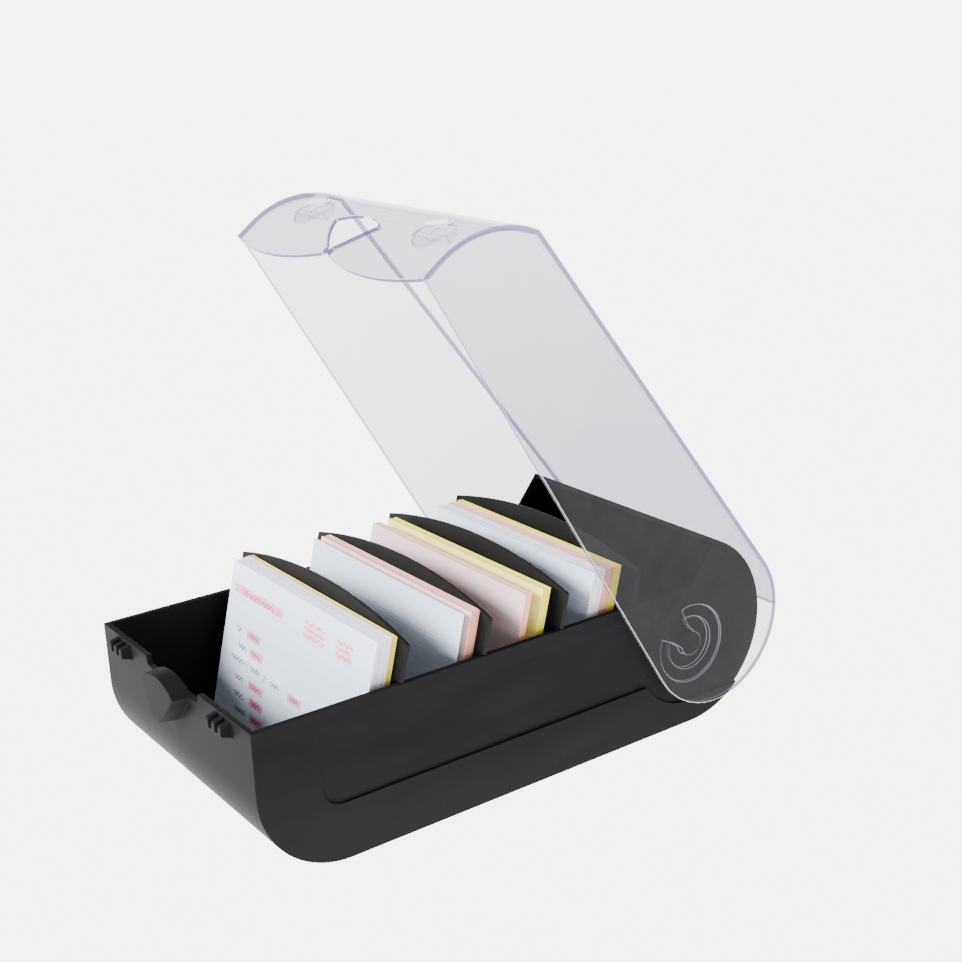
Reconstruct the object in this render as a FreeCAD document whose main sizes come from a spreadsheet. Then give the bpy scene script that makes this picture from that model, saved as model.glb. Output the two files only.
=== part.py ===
import FreeCAD, Part
import math
import os
import Sketcher

# Index-card box: an open moulded tray with a clear lid that swings on two round
# studs at the rear cheeks, four leaning dividers and packs of ruled cards.
# Millimetres. Tray coordinates: X across, Y from the front wall to the back,
# Z up from the table. Every body is moved by -origin_y so that the origin lies
# under the middle of the whole box with its lid held open.

os.makedirs("parts", exist_ok=True)
V = FreeCAD.Vector

DIMS = {
    "tray_width": 120.0,
    "rim_height": 58.4,
    "wall_side": 2.4,
    "wall_front": 2.2,
    "floor_thick": 2.0,
    "front_round": 34.5,
    "rear_centre_y": 193.8,
    "cheek_foot_y": 196.8,
    "cheek_tip_y": 208.9,
    "cheek_tip_z": 73.4,
    "panel_foot_z": 21.8,
    "panel_head_z": 51.8,
    "panel_front_y": 24.5,
    "panel_corner": 8.4,
    "panel_depth_foot": 1.2,
    "panel_depth_head": 0.45,
    "cheek_recess": 1.2,
    "hinge_y": 191.9,
    "hinge_z": 35.2,
    "stud_radius": 5.0,
    "stud_length": 2.7,
    "stud_dimple": 1.9,
    "seat_gap": 0.08,
    "lid_width": 127.6,
    "lid_wall": 1.8,
    "lid_top_z": 81.4,
    "lid_front_y": -9.5,
    "lid_front_round": 41.3,
    "lid_front_centre_z": 45.4,
    "lid_corner_z": 38.0,
    "lid_lobe_z": 33.4,
    "lid_cusp_z": 38.8,
    "lid_rear_round": 33.2,
    "lid_rear_centre_y": 194.8,
    "lid_wrap_angle": 52.6,
    "lid_open_angle": 53.0,
    "boss_radius": 16.0,
    "boss_height": 0.9,
    "collar_radius": 10.8,
    "collar_height": 2.6,
    "mouth_angle": 187.0,
    "pad_radius": 7.8,
    "pad_x": 40.3,
    "pad_z": 59.4,
    "pad_front_y": -6.2,
    "knob_top_z": 59.2,
    "knob_shoulder_z": 54.9,
    "knob_tip_z": 42.6,
    "knob_half": 13.5,
    "knob_reach": 6.5,
    "knob_tilt": 4.4,
    "dip_half": 20.0,
    "dip_depth": 3.4,
    "fin_first_x": 35.8,
    "fin_pitch": 4.6,
    "fin_thick": 2.2,
    "fin_reach": 4.0,
    "lean": 14.5,
    "divider_thick": 1.6,
    "divider_head_half": 60.0,
    "divider_body_half": 57.1,
    "divider_corner_z": 72.3,
    "divider_rise": 6.8,
    "rib_thick": 1.5,
    "rib_reach": 2.2,
    "rib_gap": 0.2,
    "card_width": 105.0,
    "card_height": 74.0,
    "card_clear": 0.15,
    "card_shift": 2.1,
}
D = DIMS

# Where each divider's front face crosses the rim, from the front of the tray.
DIVIDERS = [("divider_1", 57.5), ("divider_2", 92.5), ("divider_3", 127.5), ("divider_4", 162.7)]

# Packs of cards: name, front face at rim height, thickness measured front to back.
STACKS = [
    ("pack_1_lead_card", 48.60, 0.35),
    ("pack_1_white_cards", 49.10, 5.90),
    ("pack_1_pink_cards", 55.10, 0.35),
    ("pack_1_yellow_cards", 55.55, 1.65),
    ("pack_2_lead_card", 84.80, 0.40),
    ("pack_2_pink_lead_card", 88.20, 0.35),
    ("pack_2_pink_cards", 88.70, 3.60),
    ("pack_3_lead_card", 112.90, 0.35),
    ("pack_3_pink_cards", 113.40, 2.60),
    ("pack_3_yellow_lead_card", 120.70, 0.35),
    ("pack_3_yellow_cards", 121.20, 3.20),
    ("pack_4_lead_card", 145.20, 0.35),
    ("pack_4_white_cards", 145.70, 5.10),
    ("pack_4_pink_cards", 150.95, 4.30),
    ("pack_4_yellow_cards", 155.40, 3.30),
]

LEAN = math.radians(D["lean"])
OPEN = math.radians(D["lid_open_angle"])

# The origin sits midway between the knob's nose and the open lid's round back.
rear_offset_z = D["lid_top_z"] - D["lid_rear_round"] - D["hinge_z"]
rear_offset_y = D["lid_rear_centre_y"] - D["hinge_y"]
open_centre_y = rear_offset_y * math.cos(OPEN) + rear_offset_z * math.sin(OPEN)
box_rear_y = D["hinge_y"] + open_centre_y + D["lid_rear_round"]
tilt_run = (D["knob_top_z"] - D["knob_tip_z"]) * math.sin(math.radians(D["knob_tilt"])) / 2
box_front_y = -(D["knob_reach"] + tilt_run)
D["origin_y"] = round((box_rear_y + box_front_y) / 2, 4)

doc = FreeCAD.newDocument("card_box")
sheet = doc.addObject("Spreadsheet::Sheet", "sizes")
for row, (alias, value) in enumerate(DIMS.items(), start=1):
    sheet.set("A%d" % row, alias)
    sheet.set("B%d" % row, str(value))
    sheet.setAlias("B%d" % row, alias)
doc.recompute()


def new_body(label):
    """A body of its own, moved from tray coordinates to the common origin."""
    body = doc.addObject("PartDesign::Body", label)
    body.Label = label
    body.setExpression("Placement.Base.y", "-sizes.origin_y")
    return body


def new_sketch(body, name, role, offset="0", tilt=0.0):
    """A sketch on one of the body's own origin planes, moved along its normal."""
    plane = [f for f in body.Origin.OriginFeatures if f.Role == role][0]
    sk = body.newObject("Sketcher::SketchObject", name)
    sk.AttachmentSupport = [(plane, "")]
    sk.MapMode = "FlatFace"
    sk.AttachmentOffset = FreeCAD.Placement(V(0, 0, 0), FreeCAD.Rotation(V(1, 0, 0), tilt))
    sk.setExpression("AttachmentOffset.Base.z", offset)
    return sk


def draw(sk, start, steps):
    """Draw a closed outline: each step is a point, or a middle and an end of an arc."""
    here = V(start[0], start[1], 0)
    first = here
    for step in steps + [start]:
        if len(step) == 2 and isinstance(step[0], tuple):
            middle = V(step[0][0], step[0][1], 0)
            end = V(step[1][0], step[1][1], 0)
            sk.addGeometry(Part.Arc(here, middle, end), False)
        else:
            end = V(step[0], step[1], 0)
            if (end - here).Length < 1e-6:
                continue
            sk.addGeometry(Part.LineSegment(here, end), False)
        here = end
    if (here - first).Length > 1e-6:
        raise RuntimeError("outline of %s is open" % sk.Name)
    for index in range(sk.GeometryCount):
        sk.addConstraint(Sketcher.Constraint("Block", index))


def add_circle(sk, centre, radius_alias):
    """A circle whose radius follows the sheet."""
    index = sk.addGeometry(Part.Circle(V(centre[0], centre[1], 0), V(0, 0, 1), D[radius_alias]), False)
    sk.addConstraint(Sketcher.Constraint("DistanceX", -1, 1, index, 3, centre[0]))
    sk.addConstraint(Sketcher.Constraint("DistanceY", -1, 1, index, 3, centre[1]))
    last = sk.addConstraint(Sketcher.Constraint("Radius", index, D[radius_alias]))
    sk.setExpression("Constraints[%d]" % last, "sizes.%s" % radius_alias)


def extrude(body, kind, sk, name, length, symmetric=False, reverse=False):
    """A Pad or Pocket whose length is an expression of the sheet."""
    before = body.Shape.Volume if body.Tip else 0.0
    feature = body.newObject("PartDesign::" + kind, name)
    feature.Profile = sk
    feature.SideType = "Symmetric" if symmetric else "One side"
    feature.Reversed = reverse
    feature.setExpression("Length", length)
    doc.recompute()
    change = feature.Shape.Volume - before
    if (change <= 0) == (kind == "Pad"):
        raise RuntimeError("%s changes nothing: %.3f" % (name, change))
    return feature


def mirror(body, features, name):
    """Repeat features on the other side of the middle plane."""
    plane = [f for f in body.Origin.OriginFeatures if f.Role == "YZ_Plane"][0]
    before = body.Shape.Volume
    feature = body.newObject("PartDesign::Mirrored", name)
    feature.Originals = features
    feature.MirrorPlane = (plane, [""])
    body.Tip = feature
    doc.recompute()
    if abs(feature.Shape.Volume - before) < 1e-3:
        raise RuntimeError("%s changes nothing" % name)
    return feature


def on_circle(centre, radius, degrees):
    """The point of a circle at an angle from +Y towards +Z."""
    turn = math.radians(degrees)
    return (centre[0] + radius * math.cos(turn), centre[1] + radius * math.sin(turn))


def meet_height(centre, radius, height, side):
    """Where a circle reaches a height, on its front (-1) or back (+1) side."""
    return (centre[0] + side * math.sqrt(radius ** 2 - (height - centre[1]) ** 2), height)


HINGE = (D["hinge_y"], D["hinge_z"])


# ---------------------------------------------------------------- tray
def build_tray():
    body = new_body("tray")
    wall = D["wall_front"]
    floor = D["floor_thick"]
    bend = D["front_round"]
    tip = (D["cheek_tip_y"], D["cheek_tip_z"])
    foot = (D["cheek_foot_y"], D["rim_height"])
    slope = (tip[0] - foot[0], tip[1] - foot[1])

    # The round back rolls from the flat base up to the cheek's tip: one circle that
    # touches the table under its centre and passes through the tip.
    tip_run = tip[0] - D["rear_centre_y"]
    rear_radius = (tip_run ** 2 + tip[1] ** 2) / (2 * tip[1])
    rear = (D["rear_centre_y"], rear_radius)
    tip_angle = math.degrees(math.atan2(tip[1] - rear[1], tip_run))

    # Side outline: front wall, rounded toe, flat base, big round back, cheek, rim.
    sk = new_sketch(body, "tray_outline", "YZ_Plane")
    draw(sk, (0.0, D["rim_height"]), [
        (0.0, bend),
        (on_circle((bend, bend), bend, 225), (bend, 0.0)),
        (rear[0], 0.0),
        (on_circle(rear, rear_radius, (tip_angle - 90) / 2), tip),
        foot,
    ])
    extrude(body, "Pad", sk, "tray_block", "sizes.tray_width", symmetric=True)

    # Inside: the same outline one wall in, open upwards and along the cheeks' front edge.
    # Its arc ends on the line through the cheek's sloping front edge.
    inner = rear_radius - floor
    length = math.hypot(slope[0], slope[1])
    unit = (slope[0] / length, slope[1] / length)
    to_foot = (foot[0] - rear[0], foot[1] - rear[1])
    along = to_foot[0] * unit[0] + to_foot[1] * unit[1]
    square = to_foot[0] ** 2 + to_foot[1] ** 2 - inner ** 2
    reach = -along + math.sqrt(along ** 2 - square)
    inner_end = (foot[0] + unit[0] * reach, foot[1] + unit[1] * reach)
    inner_angle = math.degrees(math.atan2(inner_end[1] - rear[1], inner_end[0] - rear[0]))
    over = (foot[0] + slope[0] * 40.0 / slope[1], foot[1] + 40.0)
    sk = new_sketch(body, "tray_inside", "YZ_Plane")
    soft = bend - wall
    draw(sk, (wall, over[1]), [
        (wall, floor + soft),
        (on_circle((wall + soft, floor + soft), soft, 225), (wall + soft, floor)),
        (rear[0], floor),
        (on_circle(rear, inner, (inner_angle - 90) / 2), inner_end),
        over,
    ])
    extrude(body, "Pocket", sk, "tray_hollow", "sizes.tray_width - 2 * sizes.wall_side", symmetric=True)

    # The rim dips in the middle of the front wall, behind the knob.
    sk = new_sketch(body, "dip_outline", "XZ_Plane", "1")
    low = D["rim_height"] - D["dip_depth"]
    half = D["dip_half"]
    draw(sk, (-half - 1.2, D["rim_height"] + 1), [
        (-half, low),
        (half, low),
        (half + 1.2, D["rim_height"] + 1),
    ])
    extrude(body, "Pocket", sk, "rim_dip", "sizes.wall_front + 2")

    # Closing knob: a shield-shaped nose that swells towards the wall.
    def shield(name, grow, offset, tilt):
        sk = new_sketch(body, name, "XZ_Plane", offset, tilt)
        half = D["knob_half"] + grow
        mid_z = (D["knob_top_z"] + D["knob_tip_z"]) / 2 if tilt else 0.0
        sk.AttachmentOffset = FreeCAD.Placement(V(0, mid_z, 0), FreeCAD.Rotation(V(1, 0, 0), tilt))
        sk.setExpression("AttachmentOffset.Base.z", offset)
        top = D["knob_top_z"] - mid_z
        shoulder = D["knob_shoulder_z"] - mid_z
        tip = D["knob_tip_z"] - mid_z - grow * 0.4
        draw(sk, (-half, shoulder), [
            ((0.0, top + grow * 0.1), (half, shoulder)),
            ((half * 0.66, (shoulder + tip) / 2 + 0.2), (2.8 + grow * 0.3, tip)),
            (-2.8 - grow * 0.3, tip),
            ((-half * 0.66, (shoulder + tip) / 2 + 0.2), (-half, shoulder)),
        ])
        return sk

    root = shield("knob_root", 1.8, "-1", 0.0)
    nose = shield("knob_nose", 0.0, "sizes.knob_reach", -D["knob_tilt"])
    before = body.Shape.Volume
    knob = body.newObject("PartDesign::AdditiveLoft", "knob")
    knob.Profile = root
    knob.Sections = [nose]
    knob.Ruled = True
    doc.recompute()
    if knob.Shape.Volume <= before:
        raise RuntimeError("the knob adds nothing")

    # Three small fins each side of the knob, just under the rim.
    for side in (-1, 1):
        for index in range(3):
            name = "fin_%s%d" % ("left_" if side < 0 else "right_", index + 1)
            centre = "%d * (sizes.fin_first_x + %d * sizes.fin_pitch)" % (side, index)
            sk = new_sketch(body, name + "_outline", "YZ_Plane", centre)
            draw(sk, (0.5, 57.8), [
                (-D["fin_reach"] + 0.5, 56.9),
                (-D["fin_reach"], 56.4),
                (-D["fin_reach"], 53.2),
                (0.5, 51.6),
            ])
            extrude(body, "Pad", sk, name, "sizes.fin_thick", symmetric=True)

    # Long shallow panel in each side: its floor leans so that the step fades upwards.
    depth_foot = D["panel_depth_foot"]
    depth_head = D["panel_depth_head"]
    rise = D["panel_head_z"] - D["panel_foot_z"]
    tilt = -math.degrees(math.atan2(depth_foot - depth_head, rise))
    sk = new_sketch(body, "side_panel_outline", "YZ_Plane")
    # the sketch plane turns about the line Z = panel_foot_z, X = half width - foot depth
    turn = FreeCAD.Rotation(V(1, 0, 0), -tilt)
    sk.AttachmentOffset = FreeCAD.Placement(V(0, D["panel_foot_z"], 0), turn)
    sk.setExpression("AttachmentOffset.Base.z", "sizes.tray_width / 2 - sizes.panel_depth_foot")
    corner = D["panel_corner"]
    front = D["panel_front_y"]
    height = rise / math.cos(math.radians(tilt))
    # Its rear end follows the cheek's slope and lies just inside the cheek recess.
    lead_y = foot[0] - 1.8
    merge = 1.0
    back_foot = lead_y + merge - slope[0] / slope[1] * (foot[1] - D["panel_foot_z"])
    back_head = lead_y + merge - slope[0] / slope[1] * (foot[1] - D["panel_head_z"])
    draw(sk, (front, height), [
        (front, corner),
        (on_circle((front + corner, corner), corner, 225), (front + corner, 0.0)),
        (back_foot, 0.0),
        (back_head, height),
    ])
    panel = extrude(body, "Pocket", sk, "side_panel", "4", reverse=True)
    if panel.Shape.BoundBox.YLength < D["rear_centre_y"]:
        raise RuntimeError("the side panel cut the wrong way")
    mirror(body, [panel], "side_panel_pair")

    # The cheeks are set in so that the lid's hinge boss can turn over them.
    sk = new_sketch(body, "cheek_recess_outline", "YZ_Plane", "sizes.tray_width / 2 - sizes.cheek_recess")
    sweep = 25.5
    left = meet_height(HINGE, sweep, D["panel_foot_z"], -1)
    left_angle = math.degrees(math.atan2(left[1] - HINGE[1], left[0] - HINGE[0])) + 360
    far = D["rear_centre_y"] + 60
    line_low = (lead_y - slope[0] / slope[1] * (foot[1] - D["panel_foot_z"]), D["panel_foot_z"])
    start = (min(line_low[0], left[0]), D["panel_foot_z"])
    head = (lead_y + slope[0] / slope[1] * 40.0, foot[1] + 40.0)
    draw(sk, (lead_y, foot[1]), [
        start,
        left,
        (on_circle(HINGE, sweep, (left_angle + 270) / 2), (HINGE[0], HINGE[1] - sweep)),
        (far, HINGE[1] - sweep),
        (far, head[1]),
        head,
    ])
    cheek = extrude(body, "Pocket", sk, "cheek_recess", "5", reverse=True)
    sk = new_sketch(body, "stud_outline", "YZ_Plane", "sizes.tray_width / 2 - sizes.cheek_recess")
    add_circle(sk, HINGE, "stud_radius")
    stud = extrude(body, "Pad", sk, "stud", "sizes.stud_length")
    sk = new_sketch(
        body, "dimple_outline", "YZ_Plane",
        "sizes.tray_width / 2 - sizes.cheek_recess + sizes.stud_length",
    )
    add_circle(sk, HINGE, "stud_dimple")
    dimple = extrude(body, "Pocket", sk, "stud_dimple", "1.2")
    mirror(body, [cheek, stud, dimple], "cheek_pair")

    # Slanting guide ribs inside the side walls hold the dividers at their lean.
    sk = new_sketch(body, "rib_outlines", "YZ_Plane", "sizes.tray_width / 2 - sizes.wall_side + 0.4")
    thick = D["rib_thick"] / math.cos(LEAN)
    plate = D["divider_thick"] / math.cos(LEAN)
    low = floor - 0.5
    high = D["rim_height"] - 3.0
    for _, rim_y in DIVIDERS:
        for face in (rim_y - D["rib_gap"] - thick, rim_y + plate + D["rib_gap"]):
            corners = []
            for z, extra in ((low, 0.0), (low, thick), (high, thick), (high, 0.0)):
                corners.append((face + extra + (z - D["rim_height"]) * math.tan(LEAN), z))
            count = sk.GeometryCount
            for index in range(4):
                a = corners[index]
                b = corners[(index + 1) % 4]
                sk.addGeometry(Part.LineSegment(V(a[0], a[1], 0), V(b[0], b[1], 0)), False)
                sk.addConstraint(Sketcher.Constraint("Block", count + index))
    ribs = extrude(body, "Pad", sk, "guide_ribs", "sizes.rib_reach + 0.4", reverse=True)
    mirror(body, [ribs], "guide_rib_pair")
    return body


# ---------------------------------------------------------------- lid
def build_lid():
    """The lid is drawn closed and then turned back about the studs."""
    body = doc.addObject("PartDesign::Body", "lid")
    body.Label = "lid"
    wall = D["lid_wall"]
    top = D["lid_top_z"]
    front = D["lid_front_y"]
    arc_centre = (front + D["lid_front_round"], D["lid_front_centre_z"])
    rear_r = D["lid_rear_round"]
    rear = (D["lid_rear_centre_y"], top - rear_r)
    corner = (front, D["lid_corner_z"])
    brow = meet_height(arc_centre, D["lid_front_round"], top, -1)
    brow_angle = math.degrees(math.atan2(brow[1] - arc_centre[1], brow[0] - arc_centre[0]))

    # lower edge: the straight line from the front corner that just touches the round back
    gap = (rear[0] - front - wall, rear[1] - corner[1])
    distance = math.hypot(gap[0], gap[1])
    slant = math.atan2(gap[1], gap[0]) - math.asin(rear_r / distance)
    touch = (rear[0] + rear_r * math.sin(slant), rear[1] - rear_r * math.cos(slant))
    touch_angle = math.degrees(math.atan2(touch[1] - rear[1], touch[0] - rear[0]))

    sk = new_sketch(body, "lid_outline", "YZ_Plane")
    lip = D["lid_lobe_z"] - 1.0
    draw(sk, (front, arc_centre[1]), [
        (front, lip),
        (front + wall, lip),
        (front + wall, corner[1]),
        touch,
        (on_circle(rear, rear_r, (touch_angle + 90) / 2), (rear[0], top)),
        brow,
        (on_circle(arc_centre, D["lid_front_round"], (180 + brow_angle) / 2), (front, arc_centre[1])),
    ])
    extrude(body, "Pad", sk, "lid_block", "sizes.lid_width", symmetric=True)

    # Hollow: leaves the two side panels and one wall over the front, top and upper back.
    inner_r = rear_r - wall
    wrap = D["lid_wrap_angle"]
    wrap_in = on_circle(rear, inner_r, wrap)
    wrap_out = on_circle(rear, rear_r + 25.0, wrap)
    inner_front_r = D["lid_front_round"] - wall
    brow_in = meet_height(arc_centre, inner_front_r, top - wall, -1)
    brow_in_angle = math.degrees(math.atan2(brow_in[1] - arc_centre[1], brow_in[0] - arc_centre[0]))
    sk = new_sketch(body, "lid_inside", "YZ_Plane")
    draw(sk, (front + wall, arc_centre[1]), [
        (front + wall, lip - 30.0),
        (wrap_out[0], lip - 30.0),
        wrap_out,
        wrap_in,
        (on_circle(rear, inner_r, (wrap + 90) / 2), (rear[0], top - wall)),
        brow_in,
        (on_circle(arc_centre, inner_front_r, (180 + brow_in_angle) / 2), (front + wall, arc_centre[1])),
    ])
    extrude(body, "Pocket", sk, "lid_hollow", "sizes.lid_width - 2 * sizes.lid_wall", symmetric=True)

    # Lower edge of the front wall: two lobes, and the notch that frames the knob.
    sk = new_sketch(body, "lobe_outline", "XZ_Plane", "12")
    side = D["lid_width"] / 2 + 1.0
    lobe_x = 34.0
    lobe = D["lid_lobe_z"]
    cusp = D["lid_cusp_z"]
    half = D["knob_half"] + 0.7
    notch_top = D["knob_top_z"] + 0.8
    shoulder = D["knob_shoulder_z"] + 0.5
    neck = D["knob_tip_z"] - 0.6
    draw(sk, (-side, corner[1] - 0.2), [
        ((-lobe_x, lobe), (-1.3, cusp)),
        (-1.7, neck),
        ((-half * 0.66, (shoulder + neck) / 2 + 0.2), (-half, shoulder)),
        ((0.0, notch_top), (half, shoulder)),
        ((half * 0.66, (shoulder + neck) / 2 + 0.2), (1.7, neck)),
        (1.3, cusp),
        ((lobe_x, lobe), (side, corner[1] - 0.2)),
        (side, lip - 3.0),
        (-side, lip - 3.0),
    ])
    extrude(body, "Pocket", sk, "lobes_and_notch", "8")

    # Round pads that break through the curved front corner above the fins.
    pads = []
    for sign in (-1, 1):
        name = "pad_%s" % ("left" if sign < 0 else "right")
        sk = new_sketch(body, name + "_outline", "XZ_Plane", "-sizes.pad_front_y")
        add_circle(sk, (sign * D["pad_x"], D["pad_z"]), "pad_radius")
        pads.append(extrude(body, "Pad", sk, name, "5.2", reverse=True))
    sk = new_sketch(body, "pad_relief_outline", "YZ_Plane")
    draw(sk, (-5.05, 49.0), [(0.5, 49.0), (0.5, D["rim_height"] + 0.6), (-5.05, D["rim_height"] + 0.6)])
    extrude(body, "Pocket", sk, "pad_relief", "2 * (sizes.pad_x + sizes.pad_radius + 1)", symmetric=True)

    # Hinge boss on the inside of each side panel, with the slot that lets the stud in.
    inside = "sizes.lid_width / 2 - sizes.lid_wall"
    sk = new_sketch(body, "boss_outline", "YZ_Plane", inside + " + 0.3")
    add_circle(sk, HINGE, "boss_radius")
    boss = extrude(body, "Pad", sk, "hinge_boss", "sizes.boss_height + 0.3", reverse=True)
    sk = new_sketch(body, "collar_outline", "YZ_Plane", inside + " + 0.3")
    add_circle(sk, HINGE, "collar_radius")
    collar = extrude(body, "Pad", sk, "hinge_collar", "sizes.collar_height + 0.3", reverse=True)

    seat = D["stud_radius"] + D["seat_gap"]
    mouth = math.radians(D["mouth_angle"])

    def turned(along, across):
        return (
            HINGE[0] + along * math.cos(mouth) - across * math.sin(mouth),
            HINGE[1] + along * math.sin(mouth) + across * math.cos(mouth),
        )

    sk = new_sketch(body, "slot_outline", "YZ_Plane", inside)
    neck_half = seat * 0.82
    neck_run = math.sqrt(seat ** 2 - neck_half ** 2)
    draw(sk, turned(neck_run, neck_half), [
        (turned(-seat, 0.0), turned(neck_run, -neck_half)),
        turned(D["collar_radius"] * 0.72, -neck_half - 0.6),
        turned(D["boss_radius"] + 1.5, -8.2),
        turned(D["boss_radius"] + 1.5, 8.2),
        turned(D["collar_radius"] * 0.72, neck_half + 0.6),
    ])
    slot = extrude(body, "Pocket", sk, "stud_slot", "sizes.collar_height + 1")
    mirror(body, [boss, collar, slot], "hinge_boss_pair")

    turn = FreeCAD.Rotation(V(1, 0, 0), -D["lid_open_angle"])
    pin = V(0, D["hinge_y"], D["hinge_z"])
    body.Placement = FreeCAD.Placement(pin - turn.multVec(pin) - V(0, D["origin_y"], 0), turn)
    y_text = (
        "sizes.hinge_y * (1 - cos(sizes.lid_open_angle * 1 deg))"
        " - sizes.hinge_z * sin(sizes.lid_open_angle * 1 deg) - sizes.origin_y"
    )
    z_text = (
        "sizes.hinge_z * (1 - cos(sizes.lid_open_angle * 1 deg))"
        " + sizes.hinge_y * sin(sizes.lid_open_angle * 1 deg)"
    )
    body.setExpression("Placement.Base.y", y_text)
    body.setExpression("Placement.Base.z", z_text)
    return body


# ---------------------------------------------------------------- dividers
def build_divider(label, rim_y):
    """A plate with an arched head that is as wide as the tray and a body that drops inside."""
    body = new_body(label)
    thick = D["divider_thick"]
    drop = thick * math.sin(LEAN)
    base_z = D["floor_thick"] + 0.4 + drop
    rim = (D["rim_height"] + 0.15 + drop - base_z) / math.cos(LEAN)
    corner = (D["divider_corner_z"] - base_z) / math.cos(LEAN)
    head = D["divider_head_half"]
    inner = D["divider_body_half"]
    sk = new_sketch(body, label + "_outline", "XZ_Plane")
    foot = 6.0
    relief = 1.4
    draw(sk, (-head, corner), [
        ((0.0, corner + D["divider_rise"]), (head, corner)),
        (head, rim),
        (inner, rim),
        (inner - relief, rim - relief),
        (inner - relief, rim - 3 * relief),
        (inner, rim - 4 * relief),
        (inner, foot),
        (on_circle((inner - foot, foot), foot, 315), (inner - foot, 0.0)),
        (-inner + foot, 0.0),
        (on_circle((-inner + foot, foot), foot, 225), (-inner, foot)),
        (-inner, rim - 4 * relief),
        (-inner + relief, rim - 3 * relief),
        (-inner + relief, rim - relief),
        (-inner, rim),
        (-head, rim),
    ])
    extrude(body, "Pad", sk, label + "_plate", "sizes.divider_thick", reverse=True)
    shift = rim_y - (D["rim_height"] - base_z) * math.tan(LEAN)
    turn = FreeCAD.Rotation(V(1, 0, 0), -D["lean"])
    body.Placement = FreeCAD.Placement(V(0, shift - D["origin_y"], base_z), turn)
    body.setExpression("Placement.Base.y", "%.4f - sizes.origin_y" % shift)
    return body


# ---------------------------------------------------------------- cards
def build_stack(label, rim_y, thick):
    """A block of cards that lean together, each one standing on the tray's floor."""
    body = new_body(label)
    low = D["floor_thick"] + D["card_clear"]
    high = low + D["card_height"] * math.cos(LEAN)
    corners = []
    for z, extra in ((low, 0.0), (low, thick), (high, thick), (high, 0.0)):
        corners.append((rim_y + extra + (z - D["rim_height"]) * math.tan(LEAN), z))
    sk = new_sketch(body, label + "_outline", "YZ_Plane")
    draw(sk, corners[0], corners[1:])
    extrude(body, "Pad", sk, label + "_block", "sizes.card_width", symmetric=True)
    body.setExpression("Placement.Base.x", "sizes.card_shift")
    return body


nodes = [build_tray(), build_lid()]
for label, rim_y in DIVIDERS:
    nodes.append(build_divider(label, rim_y))
for label, rim_y, thick in STACKS:
    nodes.append(build_stack(label, rim_y, thick))
doc.recompute()

for item in doc.Objects:
    for word in ("Invalid", "Error"):
        if word in item.State:
            raise RuntimeError("%s is %s" % (item.Label, item.State))

whole = FreeCAD.BoundBox()
for body in nodes:
    shape = body.Shape
    if shape.isNull() or not shape.isValid() or len(shape.Solids) != 1:
        raise RuntimeError("%s has a bad shape (%d solids)" % (body.Label, len(shape.Solids)))
    shape.exportStep("parts/%s.step" % body.Label)
    box = shape.BoundBox
    whole.add(box)
    print("%-26s y %8.2f %8.2f  z %7.2f %7.2f  volume %.0f" % (
        body.Label, box.YMin, box.YMax, box.ZMin, box.ZMax, shape.Volume))
print("whole", whole)
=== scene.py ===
import math
import random

import bmesh
import bpy
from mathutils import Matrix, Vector


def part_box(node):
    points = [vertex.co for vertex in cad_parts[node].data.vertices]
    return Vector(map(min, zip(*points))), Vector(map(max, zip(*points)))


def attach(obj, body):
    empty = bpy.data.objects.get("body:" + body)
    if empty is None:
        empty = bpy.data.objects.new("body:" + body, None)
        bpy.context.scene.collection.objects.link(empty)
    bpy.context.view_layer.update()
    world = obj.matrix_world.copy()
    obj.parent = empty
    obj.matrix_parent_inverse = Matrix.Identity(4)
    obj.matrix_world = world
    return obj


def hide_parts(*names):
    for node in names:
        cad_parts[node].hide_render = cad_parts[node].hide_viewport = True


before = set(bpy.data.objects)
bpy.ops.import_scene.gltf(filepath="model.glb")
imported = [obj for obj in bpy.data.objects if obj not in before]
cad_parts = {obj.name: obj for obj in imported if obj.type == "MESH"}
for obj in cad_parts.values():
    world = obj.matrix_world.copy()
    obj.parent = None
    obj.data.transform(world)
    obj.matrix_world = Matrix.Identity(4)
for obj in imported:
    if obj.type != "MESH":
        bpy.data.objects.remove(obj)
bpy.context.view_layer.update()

# Looks of an index-card box: satin black tray, clear lid, four black dividers and
# packs of ruled cards. Metres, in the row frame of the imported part.

MM = 0.001
LEAN = math.radians(14.5)
TILT = math.tan(LEAN)
ORIGIN_Y = 115.045 * MM            # front wall to the row origin
CARD_FOOT = 2.15 * MM              # the cards' lower edges
PIN_Y, PIN_Z = 191.9, 35.2         # hinge axis in tray millimetres
HINGE = (PIN_Y * MM - ORIGIN_Y, PIN_Z * MM)
OPEN = math.radians(53.0)

# The shut lid's outer side profile, in tray millimetres: flat top, upright front and two rounds.
LID_TOP = 81.4
LID_FRONT = -9.5
BROW_RADIUS = 41.3
BROW = (round(LID_FRONT + BROW_RADIUS, 4), 45.4)
REAR_RADIUS = 33.2
REAR = (194.8, round(LID_TOP - REAR_RADIUS, 4))
WRAP_SLOPE = math.tan(math.radians(52.6))    # where the wall ends on the rear round
SIDE_OUTER = 63.8                  # outer face of the lid's side panels
SIDE_INNER = 62.0
LID_WALL = 1.8

# Round pads in the lid's front corner: middle across, middle up, radius, front and back face.
PAD_X, PAD_Z, PAD_RADIUS = 40.3, 59.4, 7.8
PAD_FRONT, PAD_BACK = -6.2, -1.0
NEAR = 0.1                         # room for the mesh's own rounding

# Ruling of the cards, in millimetres up from their lower edge.
HEADING_RULES = ((61.2, 0.28), (60.0, 0.22))
ROW_PITCH = 6.26
ROWS_BELOW = 58.0

PLASTIC_INDEX = 1.49
HEAD_ON_GLOSS = 0.055              # gloss below this share is left to the painted reflection glow
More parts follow.
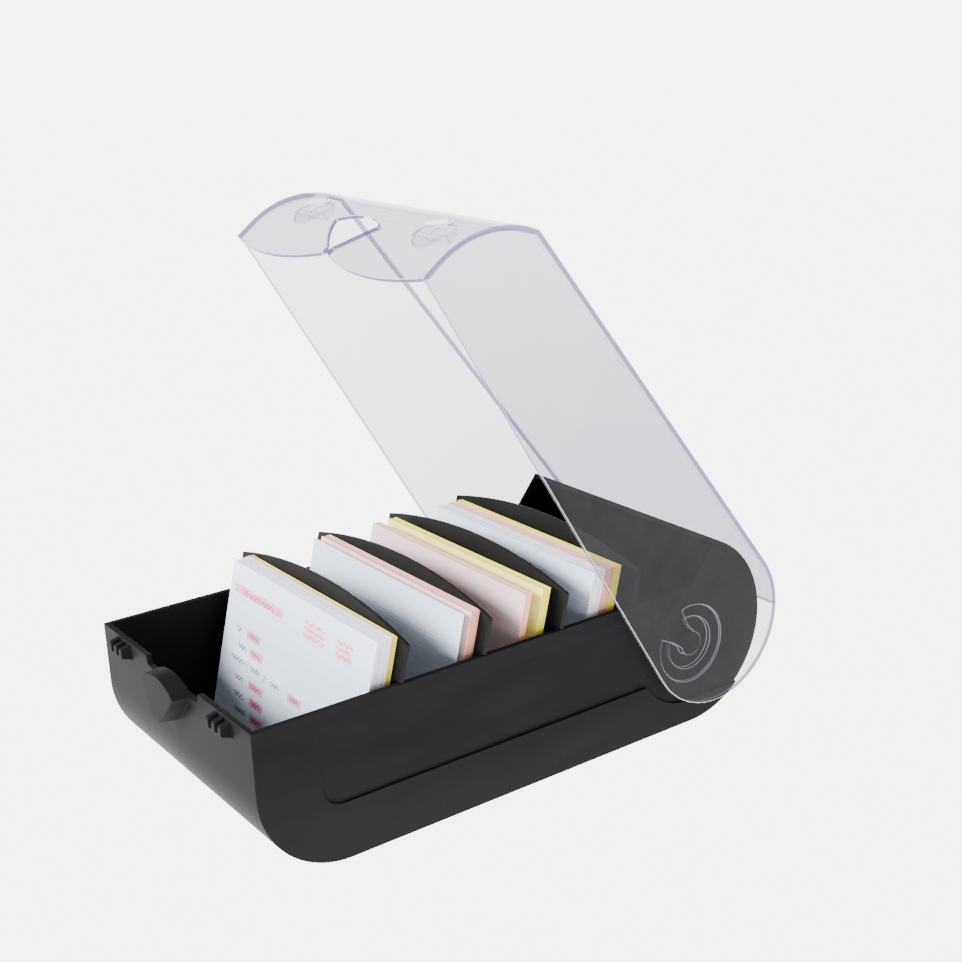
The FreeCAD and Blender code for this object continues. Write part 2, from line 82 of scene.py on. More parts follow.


# ------------------------------------------------------------------ materials
class Nodes:
    """Short ways to build a node tree."""

    def __init__(self, name):
        self.material = bpy.data.materials.new(name)
        self.material.use_nodes = True
        self.tree = self.material.node_tree
        self.tree.nodes.clear()
        self.out = self.tree.nodes.new("ShaderNodeOutputMaterial")
        coords = self.tree.nodes.new("ShaderNodeTexCoord")
        self.place = coords.outputs["Object"]

    def new(self, kind, **inputs):
        node = self.tree.nodes.new(kind)
        for key, value in inputs.items():
            self.set(node.inputs[key.replace("_", " ")], value)
        return node

    def set(self, socket, value):
        if isinstance(value, bpy.types.NodeSocket):
            self.tree.links.new(value, socket)
        else:
            socket.default_value = value

    def math(self, operation, first, second=0.0, third=0.0):
        node = self.tree.nodes.new("ShaderNodeMath")
        node.operation = operation
        for socket, value in zip(node.inputs, (first, second, third)):
            self.set(socket, value)
        return node.outputs[0]

    def noise(self, scale, detail=3.0, rough=0.5, stretch=None):
        place = self.place
        if stretch:
            mapping = self.new("ShaderNodeMapping")
            self.set(mapping.inputs["Vector"], place)
            mapping.inputs["Scale"].default_value = stretch
            place = mapping.outputs[0]
        node = self.new("ShaderNodeTexNoise", Vector=place, Scale=scale, Detail=detail)
        node.inputs["Roughness"].default_value = rough
        return node.outputs["Fac"]

    def span(self, value, low, high, to_low, to_high):
        node = self.new("ShaderNodeMapRange")
        node.clamp = True
        for socket, number in zip(node.inputs, (value, low, high, to_low, to_high)):
            self.set(socket, number)
        return node.outputs[0]

    def mix(self, factor, first, second):
        node = self.tree.nodes.new("ShaderNodeMix")
        node.data_type = "RGBA"
        self.set(node.inputs["Factor"], factor)
        self.set(node.inputs[6], first)
        self.set(node.inputs[7], second)
        return node.outputs[2]

    def bump(self, height, strength, distance):
        node = self.new("ShaderNodeBump", Height=height)
        node.inputs["Strength"].default_value = strength
        node.inputs["Distance"].default_value = distance
        return node.outputs[0]

    def surface(self, shader):
        self.set(self.out.inputs["Surface"], shader)
        return self.material


def grey(value):
    return (value, value, value, 1.0)


def darker(colour, share):
    """A colour with each channel brought down to a share of itself."""
    return tuple(c * share for c in colour[:3]) + (1.0,)


def moulded(name, colour, rough_low, rough_high, grain, specular=0.5):
    """Satin injection-moulded plastic: spark-eroded grain, faint flow marks, soft sheen."""
    n = Nodes(name)
    flow = n.noise(22.0, 4.0, 0.55, (1.0, 0.45, 1.6))
    speck = n.noise(900.0, 2.0, 0.5)
    grain_height = n.noise(2600.0, 2.0, 0.6)
    light = tuple(min(1.0, c * 1.22) for c in colour[:3]) + (1.0,)
    dark = darker(colour, 0.82)
    base = n.mix(n.span(flow, 0.35, 0.65, 0.0, 1.0), dark, light)
    base = n.mix(n.span(speck, 0.62, 0.75, 0.0, 0.35), base, light)
    rough = n.span(flow, 0.3, 0.7, rough_low, rough_high)
    shader = n.new("ShaderNodeBsdfPrincipled", Base_Color=base, Roughness=rough)
    shader.inputs["Specular IOR Level"].default_value = specular
    n.set(shader.inputs["Normal"], n.bump(grain_height, grain, 0.00004))
    return n.surface(shader.outputs[0])


def lid_profile(n):
    """How far, in millimetres, the shaded point lies inside the shut lid's outer side profile."""
    split = n.new("ShaderNodeSeparateXYZ", Vector=n.place)
    dy = n.math("MULTIPLY", n.math("SUBTRACT", split.outputs["Y"], HINGE[0]), 1000.0)
    dz = n.math("MULTIPLY", n.math("SUBTRACT", split.outputs["Z"], HINGE[1]), 1000.0)
    cos, sin = math.cos(OPEN), math.sin(OPEN)
    y = n.math("SUBTRACT", n.math("MULTIPLY", dy, cos), n.math("MULTIPLY", dz, sin))
    z = n.math("ADD", n.math("MULTIPLY", dy, sin), n.math("MULTIPLY", dz, cos))
    y = n.math("ADD", y, PIN_Y)
    z = n.math("ADD", z, PIN_Z)

    def inside_circle(centre, radius):
        ry = n.math("SUBTRACT", y, centre[0])
        rz = n.math("SUBTRACT", z, centre[1])
        square = n.math("ADD", n.math("MULTIPLY", ry, ry), n.math("MULTIPLY", rz, rz))
        return n.math("SUBTRACT", radius, n.math("SQRT", square))

    def only_if(test, value):
        """The value where the test holds, and elsewhere too large to be the least."""
        return n.math("ADD", value, n.math("MULTIPLY", n.math("SUBTRACT", 1.0, test), 999.0))

    top = n.math("SUBTRACT", LID_TOP, z)
    front_low = only_if(n.math("LESS_THAN", z, BROW[1]), n.math("SUBTRACT", y, LID_FRONT))
    in_brow = n.math("MULTIPLY", n.math("LESS_THAN", y, BROW[0]), n.math("GREATER_THAN", z, BROW[1]))
    front_round = only_if(in_brow, inside_circle(BROW, BROW_RADIUS))
    past = n.math("MULTIPLY", n.math("SUBTRACT", y, REAR[0]), -WRAP_SLOPE)
    above = n.math("ADD", past, n.math("SUBTRACT", z, REAR[1]))
    in_rear = n.math("MULTIPLY", n.math("GREATER_THAN", y, REAR[0]), n.math("GREATER_THAN", above, 0.0))
    rear_round = only_if(in_rear, inside_circle(REAR, REAR_RADIUS))
    top = only_if(n.math("LESS_THAN", y, REAR[0] + NEAR), top)
    rounds = n.math("MINIMUM", front_round, rear_round)
    return n.math("MINIMUM", n.math("MINIMUM", top, front_low), rounds)


def clear(name, tint, gloss, body, body_share, band=None, painted_reflection=0.0):
    """Clear moulding seen as a thin sheet: tinted see-through with Fresnel gloss.

    band is the deeper tint where the top and front walls run behind the side face.
    The last argument is a faint even glow, a painted reflection of the studio seen in the sheet
    head on, so such a sheet is glossy only at a slant.
    """
    n = Nodes(name)
    wave = n.noise(14.0, 2.0, 0.5)
    fine = n.noise(90.0, 4.0, 0.6)
    normal = n.bump(wave, 0.10, 0.0006)
    colour = n.mix(n.span(fine, 0.3, 0.7, 0.0, 1.0), tint, darker(tint, 0.985))
    share = n.span(fine, 0.3, 0.7, body_share * 0.85, body_share * 1.1)
    if band is not None:
        shape = n.tree.nodes.new("ShaderNodeNewGeometry")
        true_normal = n.new("ShaderNodeSeparateXYZ", Vector=shape.outputs["True Normal"])
        split = n.new("ShaderNodeSeparateXYZ", Vector=n.place)
        side = n.math("GREATER_THAN", n.math("ABSOLUTE", split.outputs["X"]), (SIDE_OUTER - 0.3) * MM)
        flat = n.math("GREATER_THAN", n.math("ABSOLUTE", true_normal.outputs["X"]), 0.7)
        strip = n.span(lid_profile(n), LID_WALL + 0.2, LID_WALL + 0.4, 1.0, 0.0)
        strip = n.math("MULTIPLY", strip, n.math("MULTIPLY", side, flat))
        # The sheet is tinted darker towards the hinge: painted shade, darkest round the hinge.
        dy = n.math("SUBTRACT", split.outputs["Y"], HINGE[0])
        dz = n.math("SUBTRACT", split.outputs["Z"], HINGE[1])
        reach = n.math("SQRT", n.math("ADD", n.math("MULTIPLY", dy, dy), n.math("MULTIPLY", dz, dz)))
        colour = n.mix(n.span(reach, 0.03, 0.19, 1.0, 0.0), colour, darker(tint, 0.80))
        colour = n.mix(strip, colour, band)
        body = n.mix(strip, body, darker(band, 0.9))
        share = n.math("ADD", share, n.math("MULTIPLY", strip, 0.35))
    through = n.new("ShaderNodeBsdfTransparent", Color=colour)
    mirror = n.new("ShaderNodeBsdfGlossy", Color=(1, 1, 1, 1))
    n.set(mirror.inputs["Roughness"], n.span(fine, 0.3, 0.75, 0.02, 0.06))
    n.set(mirror.inputs["Normal"], normal)
    milk = n.new("ShaderNodeBsdfDiffuse", Color=body)
    sheet = n.new("ShaderNodeMixShader")
    n.set(sheet.inputs[0], share)
    n.set(sheet.inputs[1], through.outputs[0])
    n.set(sheet.inputs[2], milk.outputs[0])
    # The Fresnel node turns its index over on back faces, so it is turned over there beforehand.
    behind = n.tree.nodes.new("ShaderNodeNewGeometry").outputs["Backfacing"]
    turned = n.math("MULTIPLY", behind, PLASTIC_INDEX - 1 / PLASTIC_INDEX)
    index = n.math("SUBTRACT", PLASTIC_INDEX, turned)
    facing = n.new("ShaderNodeFresnel", IOR=index)
    n.set(facing.inputs["Normal"], normal)
    final = n.new("ShaderNodeMixShader")
    slant = facing.outputs[0]
    if painted_reflection:
        slant = n.math("MAXIMUM", n.math("SUBTRACT", slant, HEAD_ON_GLOSS), 0.0)
    n.set(final.inputs[0], n.math("MULTIPLY", slant, gloss))
    n.set(final.inputs[1], sheet.outputs[0])
    n.set(final.inputs[2], mirror.outputs[0])
    if not painted_reflection:
        return n.surface(final.outputs[0])
    # Painted reflection: an even glow over the sheet in place of the studio seen in it head on.
    strength = n.span(fine, 0.3, 0.7, painted_reflection * 0.9, painted_reflection * 1.1)
    painted_reflection_glow = n.new("ShaderNodeEmission", Color=(0.96, 0.96, 1.0, 1), Strength=strength)
    both = n.new("ShaderNodeAddShader")
    n.set(both.inputs[0], final.outputs[0])
    n.set(both.inputs[1], painted_reflection_glow.outputs[0])
    return n.surface(both.outputs[0])


def card_face(name, colour, rule, rule_strength):
    """Uncoated card: fibre mottling, a double heading rule and evenly spaced writing rules."""
    n = Nodes(name)
    fibre = n.noise(700.0, 4.0, 0.65, (1.0, 1.0, 0.5))
    cloud = n.noise(60.0, 2.0, 0.5)
    split = n.new("ShaderNodeSeparateXYZ", Vector=n.place)
    height = n.math("DIVIDE", n.math("SUBTRACT", split.outputs["Z"], CARD_FOOT), math.cos(LEAN))
    height = n.math("MULTIPLY", height, 1000.0)

    def line(at, width):
        away = n.math("ABSOLUTE", n.math("SUBTRACT", height, at))
        return n.span(away, width * 0.5, width, 1.0, 0.0)

    heading = n.math("MAXIMUM", *(line(at, width) for at, width in HEADING_RULES))
    rows = n.math("WRAP", height, ROW_PITCH / 2, -ROW_PITCH / 2)
    rows = n.span(n.math("ABSOLUTE", rows), 0.10, 0.22, 1.0, 0.0)
    band = n.math("LESS_THAN", height, ROWS_BELOW)
    rows = n.math("MULTIPLY", n.math("MULTIPLY", rows, band), 0.6)
    lines = n.math("MULTIPLY", n.math("MAXIMUM", heading, rows), rule_strength)
    shaded = darker(colour, 0.955)
    base = n.mix(n.span(fibre, 0.4, 0.65, 0.0, 1.0), shaded, colour)
    base = n.mix(n.span(cloud, 0.4, 0.6, 0.0, 0.3), base, shaded)
    base = n.mix(lines, base, rule)
    shader = n.new("ShaderNodeBsdfPrincipled", Base_Color=base)
    shader.inputs["Roughness"].default_value = 0.72
    shader.inputs["Specular IOR Level"].default_value = 0.25
    n.set(shader.inputs["Normal"], n.bump(fibre, 0.18, 0.00003))
    return n.surface(shader.outputs[0])


def card_edge(name, colour, painted_gap_shade):
    """The cut edges of a pack: fibrous, with stripes of painted shade between the cards and fibre
    flecks in the same darker colour.
    """
    n = Nodes(name)
    layer = n.noise(1500.0, 2.0, 0.6, (0.02, 1.0, 0.25))
    fibre = n.noise(900.0, 3.0, 0.6)
    base = n.mix(n.span(layer, 0.35, 0.6, 0.0, 1.0), painted_gap_shade, colour)
    base = n.mix(n.span(fibre, 0.5, 0.8, 0.0, 0.25), base, painted_gap_shade)
    shader = n.new("ShaderNodeBsdfPrincipled", Base_Color=base)
    shader.inputs["Roughness"].default_value = 0.8
    shader.inputs["Specular IOR Level"].default_value = 0.2
    n.set(shader.inputs["Normal"], n.bump(layer, 0.3, 0.00004))
    return n.surface(shader.outputs[0])


def ink(name, colour, pale, rough):
    """Pen or highlighter on card: colour pooled unevenly along the stroke."""
    n = Nodes(name)
    pool = n.noise(420.0, 3.0, 0.6)
    base = n.mix(n.span(pool, 0.4, 0.62, 0.0, 1.0), colour, pale)
    shader = n.new("ShaderNodeBsdfPrincipled", Base_Color=base)
    shader.inputs["Roughness"].default_value = rough
    n.set(shader.inputs["Normal"], n.bump(pool, 0.1, 0.00002))
    return n.surface(shader.outputs[0])


TRAY = moulded("tray_plastic", (0.0082, 0.0080, 0.0089, 1), 0.42, 0.52, 0.02, 0.010)
DIVIDER = moulded("divider_plastic", (0.0085, 0.0082, 0.0080, 1), 0.45, 0.55, 0.02, 0.03)
MILK = (0.80, 0.81, 0.88, 1)
LILAC = (0.19, 0.17, 0.31, 1)
# The lid's outer and inner faces get a faint painted reflection glow.
LID = clear("lid_sheet", (0.63, 0.635, 0.67, 1), 0.30, MILK, 0.0, LILAC, painted_reflection=0.072)
LID_INNER = clear("lid_inner_face", (0.985, 0.985, 0.99, 1), 0.20, MILK, 0.0, painted_reflection=0.002)
LID_EDGE = clear("lid_cut_edge", (0.13, 0.115, 0.23, 1), 0.15, (0.17, 0.15, 0.28, 1), 0.40)
LID_SIDE_EDGE = clear("lid_side_edge", (0.30, 0.30, 0.34, 1), 0.25, (0.28, 0.28, 0.32, 1), 0.15)
LID_PAD = clear("lid_pad", (0.96, 0.965, 0.98, 1), 0.80, (0.92, 0.92, 0.95, 1), 0.20)
# Rounded corners of the lid: real Fresnel gloss, plus a milky white body share that paints highlight
# lines along them.
LID_CORNER_HIGHLIGHT = clear("lid_corner_painted_highlight", (0.36, 0.35, 0.44, 1), 0.9, (0.86, 0.86, 0.92, 1), 0.32)

FACES = {
    "card_white": card_face("white_card", (0.66, 0.74, 0.88, 1), (0.34, 0.44, 0.54, 1), 0.6),
    "card_pink": card_face("pink_card", (0.78, 0.56, 0.58, 1), (0.46, 0.34, 0.38, 1), 0.5),
    "card_yellow": card_face("yellow_card", (0.88, 0.81, 0.24, 1), (0.50, 0.45, 0.22, 1), 0.5),
}
# Each edge colour comes with a darker one that paints the shade between the cards.
EDGES = {
    "card_white": card_edge("white_card_edge", (0.88, 0.86, 0.90, 1), (0.76, 0.72, 0.80, 1)),
    "card_pink": card_edge("pink_card_edge", (0.90, 0.38, 0.28, 1), (0.78, 0.28, 0.20, 1)),
    "card_yellow": card_edge("yellow_card_edge", (0.88, 0.78, 0.04, 1), (0.80, 0.68, 0.02, 1)),
}
HIGHLIGHTER = ink("pink_highlighter", (0.74, 0.23, 0.38, 1), (0.79, 0.33, 0.47, 1), 0.7)
MARKER = ink("pink_marker", (0.74, 0.17, 0.32, 1), (0.80, 0.30, 0.44, 1), 0.6)
PEN = ink("dark_pen", (0.05, 0.035, 0.07, 1), (0.12, 0.08, 0.14, 1), 0.5)


# ------------------------------------------------------------------ moulded parts
def dress(node, materials, width, rim=None):
    """Keep a CAD piece as it is, and soften and shade its corners with modifiers only."""
    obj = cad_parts[node]
    obj.data.materials.clear()
    for material in materials:
        obj.data.materials.append(material)
    weld = obj.modifiers.new("weld", "WELD")
    weld.merge_threshold = 0.004 * MM
    soft = obj.modifiers.new("soft_corners", "BEVEL")
    soft.width = width
    soft.segments = 2
    soft.limit_method = "ANGLE"
    soft.angle_limit = math.radians(32)
    soft.use_clamp_overlap = False
    soft.harden_normals = False
    # Rounded faces made by the bevel take this material; on the lid it paints highlight lines.
    if rim is not None:
        soft.material = rim
    for face in obj.data.polygons:
        face.use_smooth = True
        face.material_index = 0
    normals = obj.modifiers.new("weighted", "WEIGHTED_NORMAL")
    normals.keep_sharp = True
    return obj


dress("tray", [TRAY], 0.28 * MM)
for index in range(1, 5):
    dress("divider_%d" % index, [DIVIDER], 0.26 * MM)

LID_MATERIALS = [LID, LID_EDGE, LID_CORNER_HIGHLIGHT, LID_SIDE_EDGE, LID_PAD, LID_INNER]
lid = dress("lid", LID_MATERIALS, 0.30 * MM, rim=LID_MATERIALS.index(LID_CORNER_HIGHLIGHT))


def closed(point):
    """A point of the open lid, turned back to where it is with the lid shut."""
    dy = point[1] - HINGE[0]
    dz = point[2] - HINGE[1]
    y = HINGE[0] + dy * math.cos(OPEN) - dz * math.sin(OPEN)
    z = HINGE[1] + dy * math.sin(OPEN) + dz * math.cos(OPEN)
    return Vector((point[0], y, z))


def outline(point):
    """Distance inside the shut lid's outer profile and the outward direction there."""
    y, z = point.y + ORIGIN_Y, point.z
    choices = [(LID_TOP * MM - z, Vector((0, 0, 1)))]
    if z < BROW[1] * MM:
        choices.append((y - LID_FRONT * MM, Vector((0, -1, 0))))
    for centre, radius, applies in (
        (BROW, BROW_RADIUS, y < BROW[0] * MM and z >= BROW[1] * MM),
        (REAR, REAR_RADIUS, y > REAR[0] * MM),
    ):
        if applies:
            arm = Vector((0, y - centre[0] * MM, z - centre[1] * MM))
            choices.append((radius * MM - arm.length, arm.normalized()))
    return min(choices, key=lambda choice: choice[0])


def in_side_panel(points):
    """True where every point lies in one of the lid's two side panels."""
    return min(abs(p.x) for p in points) > (SIDE_INNER - NEAR) * MM


def on_one_side(points):
    """True where no two points lie on different sides of the middle plane."""
    xs = [p.x for p in points]
    return not min(xs) < 0 < max(xs)


def is_cut_edge(face, points):
    """True for the narrow faces across the lid's wall."""
    pin = Vector((0, HINGE[0], HINGE[1]))
    normal = closed(pin + face.normal) - pin
    if in_side_panel(points) and on_one_side(points):
        return abs(normal.x) < 0.3
    depths = [outline(p) for p in points]
    if max(depth for depth, _ in depths) > (LID_WALL + 0.15) * MM:
        return False
    return abs(normal.dot(depths[0][1])) < 0.35


def is_pad(points):
    """True for the two round pucks moulded into the curved front corner."""
    for point in points:
        y = point.y + ORIGIN_Y
        off = math.hypot(abs(point.x) - PAD_X * MM, point.z - PAD_Z * MM)
        if off > (PAD_RADIUS + NEAR) * MM:
            return False
        if not (PAD_FRONT - NEAR) * MM <= y <= (PAD_BACK + NEAR) * MM:
            return False
    return on_one_side(points)


def is_outer(points):
    """True for the faces on the outside of the lid's walls."""
    if all(abs(p.x) > (SIDE_OUTER - NEAR) * MM for p in points):
        return True
    return all(outline(p)[0] < 0.15 * MM for p in points)


def lid_material(face, points):
    """Which of the lid's materials a face of its mesh has."""
    if is_pad(points):
        return LID_PAD
    if is_cut_edge(face, points):
        return LID_SIDE_EDGE if in_side_panel(points) else LID_EDGE
    return LID if is_outer(points) else LID_INNER


for face in lid.data.polygons:
    corners = [closed(lid.data.vertices[i].co) for i in face.vertices]
    face.material_index = LID_MATERIALS.index(lid_material(face, corners))


# ------------------------------------------------------------------ cards
def link(name, data):
    """A new object in the scene for a mesh, lamp or camera."""
    obj = bpy.data.objects.new(name, data)
    bpy.context.scene.collection.objects.link(obj)
    return obj


PAPER, CUT = 0, 1                  # material places in a pack's mesh
SHEET = 0.27 * MM                  # one card, in a pack of many


def card_pack(node, body, slot, seed):
    """The single cards of a pack, each standing on the tray's floor at the pack's own lean."""
    low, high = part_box(node)
    rise = high.z - low.z
    thick = (high.y - low.y) - rise * TILT
    count = max(1, round(thick / SHEET))
    single = count == 1
    pitch = thick / count
    middle = (low.x + high.x) / 2
    rand = random.Random(seed)
    bm = bmesh.new()
    for index in range(count):
        plate = pitch * (1.0 if single else rand.uniform(0.80, 0.90))
        front = low.y + index * pitch + (0.0 if single else rand.uniform(0.0, pitch - plate))
        half = (high.x - low.x) / 2 - (0.0 if single else rand.uniform(0.05, 0.45) * MM)
        slip = 0.0 if single else rand.uniform(-1.0, 1.0) * ((high.x - low.x) / 2 - half)
        drop = 0.0 if single else rand.uniform(0.0, 0.45) * MM
        ring = []
        for x in (middle + slip - half, middle + slip + half):
            for z in (low.z, high.z - drop):
                for y in (front, front + plate):
                    ring.append(bm.verts.new((x, y + (z - low.z) * TILT, z)))
        # Corners by side (l, r), then height (foot f, top t), then face (front f, back b).
        lff, lfb, ltf, ltb, rff, rfb, rtf, rtb = ring
        for corners, kind in (
            ((lff, rff, rtf, ltf), PAPER),
            ((lfb, ltb, rtb, rfb), PAPER),
            ((ltf, rtf, rtb, ltb), CUT),
            ((lff, lfb, rfb, rff), CUT),
            ((lff, ltf, ltb, lfb), CUT),
            ((rff, rfb, rtb, rtf), CUT),
        ):
            face = bm.faces.new(corners)
            face.material_index = kind
    bmesh.ops.recalc_face_normals(bm, faces=bm.faces)
    mesh = bpy.data.meshes.new(node.replace("cards", "sheets").replace("lead_card", "lead_sheet"))
    bm.to_mesh(mesh)
    bm.free()
    mesh.materials.append(FACES[slot])
    mesh.materials.append(EDGES[slot])
    obj = link(mesh.name, mesh)
    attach(obj, body)
    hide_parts(node)


PACKS = [
    ("pack_1_lead_card", "pack_1_lead", "card_white"),
    ("pack_1_white_cards", "pack_1", "card_white"),
    ("pack_1_pink_cards", "pack_1", "card_pink"),
    ("pack_1_yellow_cards", "pack_1", "card_yellow"),
    ("pack_2_lead_card", "pack_2_lead", "card_white"),
    ("pack_2_pink_lead_card", "pack_2_pink_lead", "card_pink"),
    ("pack_2_pink_cards", "pack_2", "card_pink"),
    ("pack_3_lead_card", "pack_3_lead", "card_pink"),
    ("pack_3_pink_cards", "pack_3", "card_pink"),
    ("pack_3_yellow_lead_card", "pack_3_yellow_lead", "card_yellow"),
    ("pack_3_yellow_cards", "pack_3_yellow", "card_yellow"),
    ("pack_4_lead_card", "pack_4_lead", "card_white"),
    ("pack_4_white_cards", "pack_4", "card_white"),
    ("pack_4_pink_cards", "pack_4", "card_pink"),
    ("pack_4_yellow_cards", "pack_4", "card_yellow"),
]
for number, (node, body, slot) in enumerate(PACKS):
    card_pack(node, body, slot, 40 + number)


# ------------------------------------------------------------------ marks on the front card
def on_front_card(across, up, lift):
    """A point of the front card's face: millimetres from its middle and from its foot."""
    low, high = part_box("pack_1_lead_card")
    middle = (low.x + high.x) / 2
    z = low.z + up * MM * math.cos(LEAN)
    y = low.y + (z - low.z) * TILT
    return Vector((middle + across * MM, y - lift * MM / math.cos(LEAN), z))


def stroke(bm, path, width, lift):
    """A flat pen stroke along a path, a little proud of the paper."""
    left, right = [], []
    for index, (u, v) in enumerate(path):
        before = path[max(0, index - 1)]
        after = path[min(len(path) - 1, index + 1)]
        du, dv = after[0] - before[0], after[1] - before[1]
        size = math.hypot(du, dv) or 1.0
        along = index / (len(path) - 1)
        taper = 0.55 + 0.45 * math.sin(math.pi * along) ** 0.4
        nu, nv = -dv / size * width / 2 * taper, du / size * width / 2 * taper
        left.append(bm.verts.new(on_front_card(u + nu, v + nv, lift)))
        right.append(bm.verts.new(on_front_card(u - nu, v - nv, lift)))
    for index in range(len(path) - 1):
        bm.faces.new((left[index], right[index], right[index + 1], left[index + 1]))


def marks(name, material, draw):
    """One kind of mark on the front card, as a thin piece that rides with it."""
    bm = bmesh.new()
    draw(bm)
    bmesh.ops.recalc_face_normals(bm, faces=bm.faces)
    mesh = bpy.data.meshes.new(name)
    bm.to_mesh(mesh)
    bm.free()
    mesh.materials.append(material)
    obj = link(name, mesh)
    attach(obj, "pack_1_lead")


def ripple(start, end, height, waves, rand, fade=0.35):
    """A plain wavy line, higher and lower at random, with no letter in it."""
    steps = int(waves * 14)
    swell = [rand.uniform(1.0 - fade, 1.0) for _ in range(int(waves) + 3)]
    path = []
    for index in range(steps + 1):
        t = index / steps
        k = t * waves
        size = swell[int(k)] + (swell[int(k) + 1] - swell[int(k)]) * (k % 1.0)
        u = start[0] + (end[0] - start[0]) * t
        v = start[1] + (end[1] - start[1]) * t
        path.append((u, v + height / 2 * size * math.sin(2 * math.pi * k)))
    return path


# Millimetres on the card, across from its middle and up from its foot.
# Bars are (left, right, middle height, own height), and words have a number of waves as well.
BARS = [(-49.0, -10.5, 64.2, 3.6), (-34.5, -24.0, 49.2, 3.4), (-30.6, -20.4, 43.0, 3.4),
        (1.2, 11.2, 36.2, 3.2), (-28.0, -16.6, 30.8, 3.2), (-25.4, -15.2, 24.8, 3.2),
        (-23.6, -13.6, 18.8, 3.2)]
WORDS = [(-43.0, -17.5, 63.8, 2.2, 9.0), (-42.5, -39.0, 49.4, 1.9, 1.5), (-40.0, -33.0, 43.2, 1.9, 3.0),
         (-43.5, -33.0, 37.6, 1.9, 4.5), (-28.5, -20.5, 37.2, 1.9, 3.5), (-12.5, -5.5, 36.6, 1.9, 3.0),
         (-39.6, -32.0, 30.8, 1.9, 3.0), (-37.6, -30.0, 24.8, 1.9, 3.0), (-36.0, -27.0, 18.8, 1.9, 4.0)]


BAR_LIFT, MARKER_LIFT, PEN_LIFT = 0.015, 0.02, 0.035    # how proud of the paper each mark is


def draw_bars(bm):
    """Highlighter bars with slightly uneven long edges."""
    rand = random.Random(11)
    steps = 12
    for left, right, middle, tall in BARS:
        top, foot = [], []
        for index in range(steps + 1):
            t = index / steps
            u = left + (right - left) * t
            slant = 0.5 if index == steps else 0.0
            high = middle + tall / 2 + rand.uniform(-0.12, 0.12)
            low = middle - tall / 2 + rand.uniform(-0.12, 0.12)
            top.append(bm.verts.new(on_front_card(u + slant, high, BAR_LIFT)))
            foot.append(bm.verts.new(on_front_card(u, low, BAR_LIFT)))
        for index in range(steps):
            bm.faces.new((top[index], foot[index], foot[index + 1], top[index + 1]))


def draw_pen(bm):
    """Pen ripples in place of each word, also on the bars, and two slanting dashes."""
    rand = random.Random(23)
    for left, right, middle, tall, waves in WORDS:
        end = (right, middle + rand.uniform(-0.5, 0.3))
        stroke(bm, ripple((left, middle), end, tall, waves, rand), 0.50, PEN_LIFT)
    for left, right, middle, _ in BARS[1:]:
        path = ripple((left + 1.6, middle), (right - 1.8, middle), 1.5, 3.0, rand)
        stroke(bm, path, 0.46, PEN_LIFT)
    for u, v in ((-31.0, 37.4), (-17.0, 36.9)):
        stroke(bm, [(u - 0.8, v - 1.8), (u, v), (u + 0.8, v + 1.8)], 0.36, PEN_LIFT)


def draw_marker(bm):
    """Two groups of three broad wavy lines."""
    rand = random.Random(5)
    for left, right in ((5.0, 21.0), (27.5, 40.0)):
        for row in range(3):
            start = (left + rand.uniform(0.0, 1.0), 66.6 - row * 2.3)
            end = (right - rand.uniform(0.0, 1.6), 66.9 - row * 2.3)
            stroke(bm, ripple(start, end, 0.9, 3.0, rand, 0.3), 1.35, MARKER_LIFT)


marks("highlighter_bars", HIGHLIGHTER, draw_bars)
marks("marker_waves", MARKER, draw_marker)
marks("pen_ripples", PEN, draw_pen)


# ------------------------------------------------------------------ stage, light, camera
def stage_material():
    """Plain pale floor that gives off an even light of its own."""
    n = Nodes("studio_floor")
    cloud = n.noise(3.0, 2.0, 0.5)
    base = n.mix(n.span(cloud, 0.3, 0.7, 0.0, 1.0), grey(0.25), grey(0.27))
    floor = n.new("ShaderNodeBsdfDiffuse", Color=base)
    glow = n.new("ShaderNodeEmission", Color=grey(1.0), Strength=6.0)
    both = n.new("ShaderNodeAddShader")
    n.set(both.inputs[0], floor.outputs[0])
    n.set(both.inputs[1], glow.outputs[0])
    return n.surface(both.outputs[0])


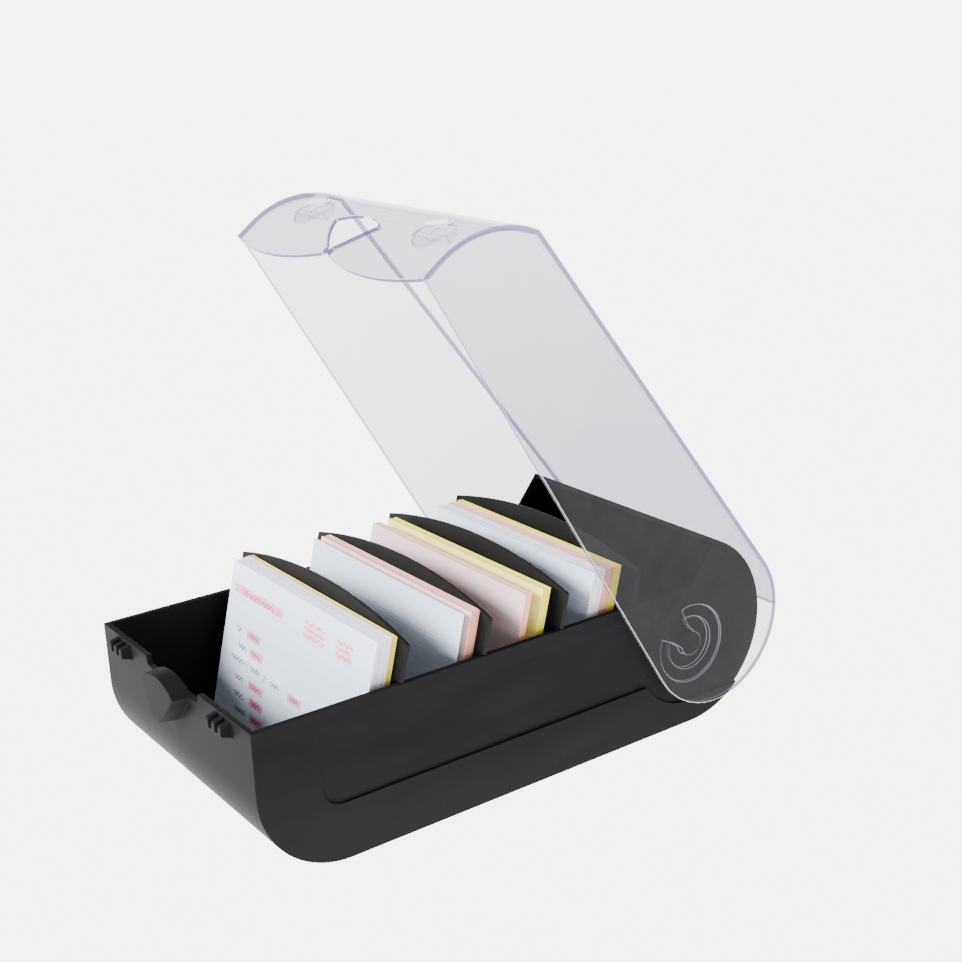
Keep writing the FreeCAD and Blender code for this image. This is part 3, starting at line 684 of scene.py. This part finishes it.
def cove(radius, height, rings=24, around=96):
    """A wide flat floor whose far edge curves up, so that no horizon shows."""
    bm = bmesh.new()
    loops = []
    for ring in range(rings + 1):
        turn = math.pi / 2 * ring / rings
        out, up = radius + height * math.sin(turn), height * (1 - math.cos(turn))
        loops.append([
            bm.verts.new((out * math.cos(a), out * math.sin(a), up))
            for a in (2 * math.pi * k / around for k in range(around))
        ])
    bm.faces.new(loops[0])
    for low, high in zip(loops, loops[1:]):
        for k in range(around):
            bm.faces.new((low[k], low[(k + 1) % around], high[(k + 1) % around], high[k]))
    mesh = bpy.data.meshes.new("floor")
    bm.to_mesh(mesh)
    bm.free()
    mesh.polygons.foreach_set("use_smooth", [True] * len(mesh.polygons))
    mesh.materials.append(stage_material())
    return link("floor", mesh)


floor = cove(radius=9.0, height=1.6)
floor.location = (0, 0, -0.0002)

world = bpy.data.worlds.new("studio")
world.use_nodes = True
world.node_tree.nodes["Background"].inputs["Color"].default_value = (1, 1, 1, 1)
world.node_tree.nodes["Background"].inputs["Strength"].default_value = 0.35
bpy.context.scene.world = world


def softbox(name, place, aim, width, height, power):
    """A rectangular lamp at a place, turned towards its aim."""
    data = bpy.data.lights.new(name, "AREA")
    data.shape = "RECTANGLE"
    data.size = width
    data.size_y = height
    data.energy = power
    obj = link(name, data)
    obj.location = place
    obj.rotation_euler = (Vector(aim) - Vector(place)).to_track_quat("-Z", "Y").to_euler()


softbox("front_softbox", (-0.45, -1.12, 0.70), (0.0, -0.02, 0.05), 0.8, 0.45, 62.0)
softbox("top_softbox", (0.1, 0.1, 1.4), (0.0, 0.0, 0.05), 1.0, 1.0, 6.0)
softbox("side_softbox", (1.3, 0.35, 0.55), (0.0, 0.0, 0.06), 0.5, 0.8, 6.0)

camera_data = bpy.data.cameras.new("camera")
camera_data.lens = 57.195
camera_data.sensor_width = 36.0
camera_data.clip_start = 0.01
camera_data.clip_end = 100.0
camera = link("camera", camera_data)
camera.location = (0.46726, -0.30779, 0.28547)
camera.rotation_euler = tuple(math.radians(a) for a in (71.997, 2.158, 54.070))
bpy.context.scene.camera = camera
